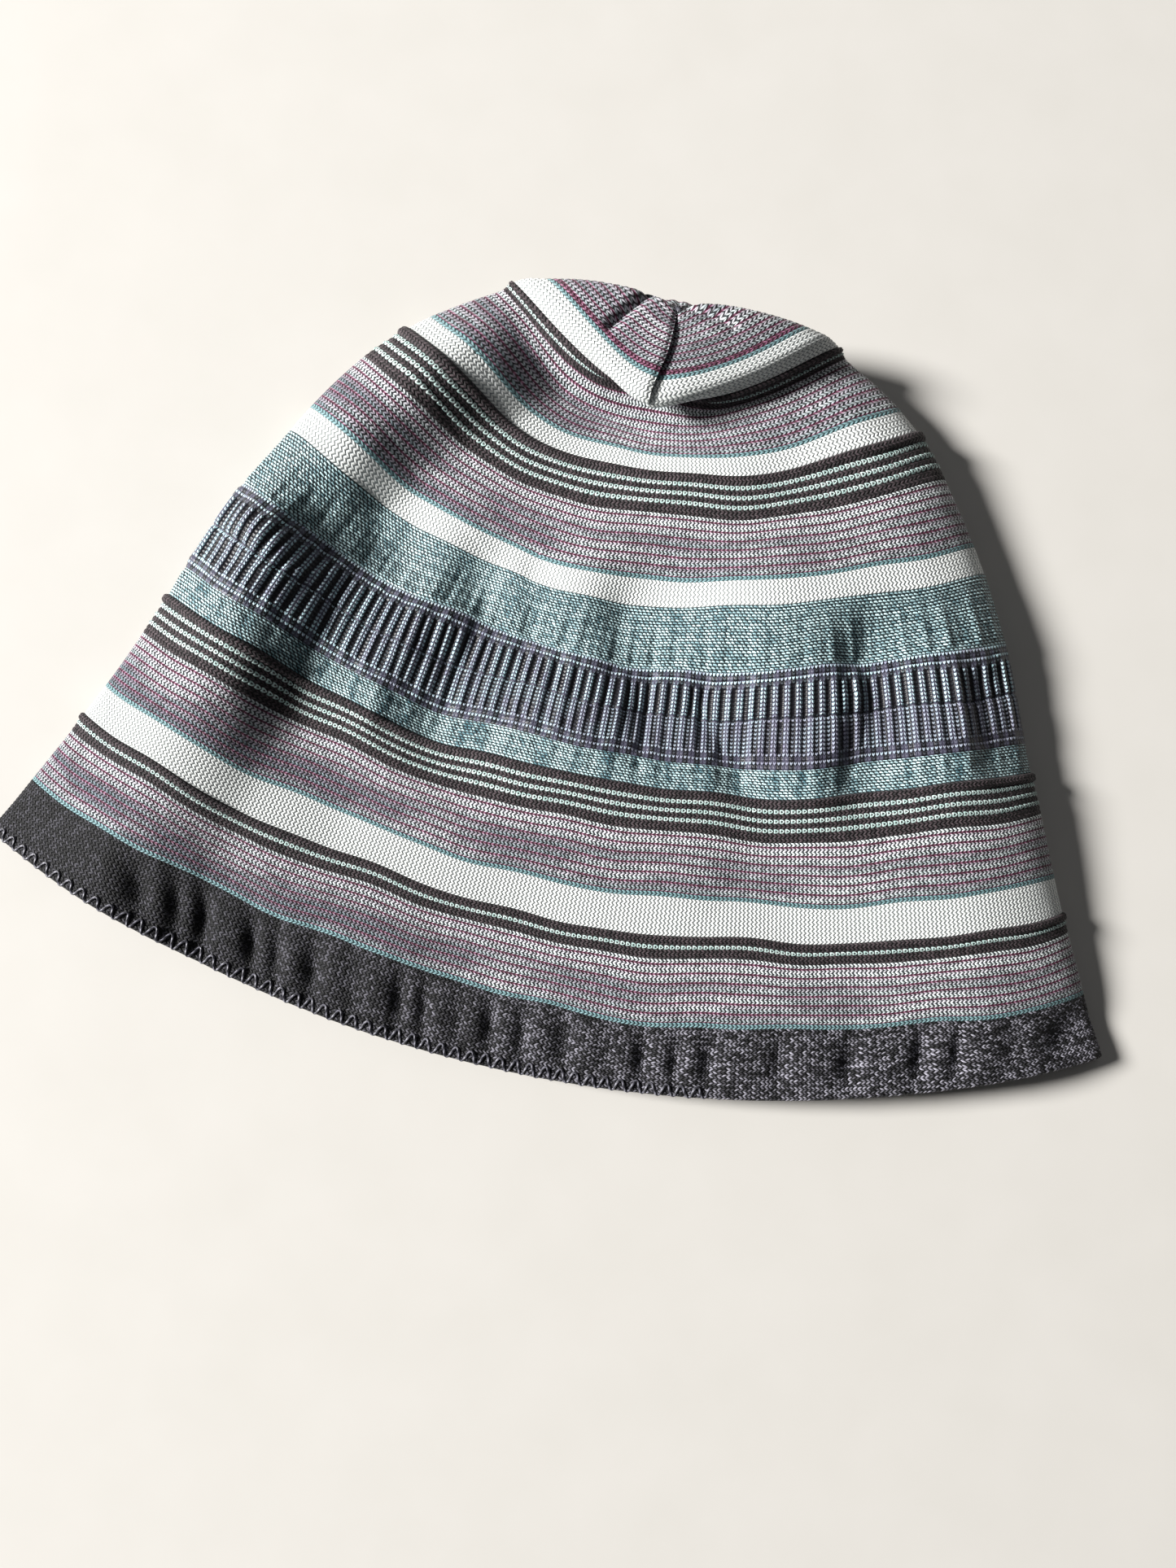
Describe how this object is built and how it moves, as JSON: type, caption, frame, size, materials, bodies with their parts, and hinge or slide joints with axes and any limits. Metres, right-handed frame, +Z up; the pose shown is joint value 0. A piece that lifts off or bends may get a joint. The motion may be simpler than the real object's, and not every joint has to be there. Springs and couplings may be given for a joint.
{
  "type": "knit beanie",
  "caption": "Striped fine-knit beanie lying flat, with a flared hem, zigzag-stitched edge, raised black bands and a four-gore crown tucked forward.",
  "frame": {"origin": "on the surface that the hat lies on, under the middle of its outline", "axes": "+X across the hat to the wearer's side fold at the right, +Y from the hem to the crown, +Z up out of the surface"},
  "size_m": [0.3208, 0.2242, 0.0267],
  "materials": {
    "charcoal_yarn": "fine charcoal knit with a slight sheen",
    "melange_yarn": "rows of maroon, pink, grey and mint yarn, silky",
    "black_yarn": "raised matt black rows with pale mint lines",
    "white_yarn": "off-white knit",
    "teal_yarn": "silky grey-teal knit with dark gaps",
    "rib_yarn": "dark purple-grey ribs with pale stitches",
    "crown_yarn": "white rim, teal row and melange rows to the centre",
    "thread": "dark grey sewing thread, slightly shiny",
    "label": "plain woven white tape, no print"
  },
  "bodies": {
    "hat": {"hem_zigzag_thread": "thread", "hem_band": "charcoal_yarn", "melange_band_1": "melange_yarn", "black_band_1": "black_yarn", "white_band_1": "white_yarn", "melange_band_2": "melange_yarn", "black_band_2": "black_yarn", "teal_band_lower": "teal_yarn", "rib_band": "rib_yarn", "teal_band_upper": "teal_yarn", "white_band_2": "white_yarn", "melange_band_3": "melange_yarn", "black_band_3": "black_yarn", "white_band_3": "white_yarn", "melange_band_4": "melange_yarn", "black_band_4": "black_yarn", "crown_gore_front_right": "crown_yarn", "crown_gore_front_left": "crown_yarn", "crown_gore_back_left": "crown_yarn", "crown_gore_back_right": "crown_yarn", "crown_seam_right": "thread", "crown_seam_front": "thread", "crown_seam_left": "thread", "crown_seam_back": "thread", "crown_tack": "thread", "label_stitch": "thread"},
    "care_label": {"care_label": "label"}
  },
  "joints": [
    {"name": "care_label_flip", "type": "hinge", "parent": "hat", "child": "care_label", "pos_m": [0, -0.08433, 0.00185], "axis": [1, 0, 0], "range_deg": [0, 12]}
  ]
}
